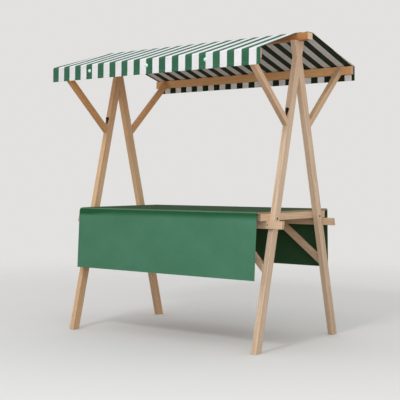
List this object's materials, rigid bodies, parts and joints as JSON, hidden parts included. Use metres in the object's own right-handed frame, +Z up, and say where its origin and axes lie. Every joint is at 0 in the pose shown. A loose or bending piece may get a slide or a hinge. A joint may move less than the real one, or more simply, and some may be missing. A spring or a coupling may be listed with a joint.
{
  "type": "wooden market stall",
  "caption": "Open market stall: two cross-legged timber trestles carry a ridge beam, eave rails and a counter, with a striped cloth canopy and a plain cloth over the counter.",
  "frame": {"origin": "on the floor under the middle of the stall", "axes": "+X along the stall to the right as the customer sees it, +Y from the front to the rear, +Z up"},
  "size_m": [1.8, 1.1896, 2.0578],
  "materials": {
    "pine": "satin",
    "shaded_pine": "satin",
    "plank": "matte",
    "canopy_cloth": "matte",
    "table_cloth": "matte",
    "black_steel": "satin"
  },
  "bodies": {
    "root": {"leg_front_left": "pine", "leg_front_right": "pine", "leg_rear_left": "pine", "leg_rear_right": "pine", "ridge_beam": "shaded_pine", "eave_rail_front": "shaded_pine", "eave_rail_rear": "shaded_pine", "eave_brace_front_left": "pine", "eave_brace_front_right": "pine", "eave_brace_rear_left": "pine", "eave_brace_rear_right": "pine", "long_rail_front": "pine", "long_rail_rear": "pine", "bearer_left": "pine", "bearer_right": "pine", "knee_brace_front_left": "shaded_pine", "knee_brace_front_right": "shaded_pine", "knee_brace_rear_left": "shaded_pine", "knee_brace_rear_right": "shaded_pine", "counter_plank_1": "plank", "counter_plank_2": "plank", "counter_plank_3": "plank", "counter_plank_4": "plank", "counter_plank_5": "plank", "counter_plank_6": "plank", "canopy": "canopy_cloth", "tablecloth": "table_cloth", "hook_front_left": "black_steel", "hook_front_right": "black_steel", "hook_rear_left": "black_steel", "hook_rear_right": "black_steel"}
  },
  "joints": []
}
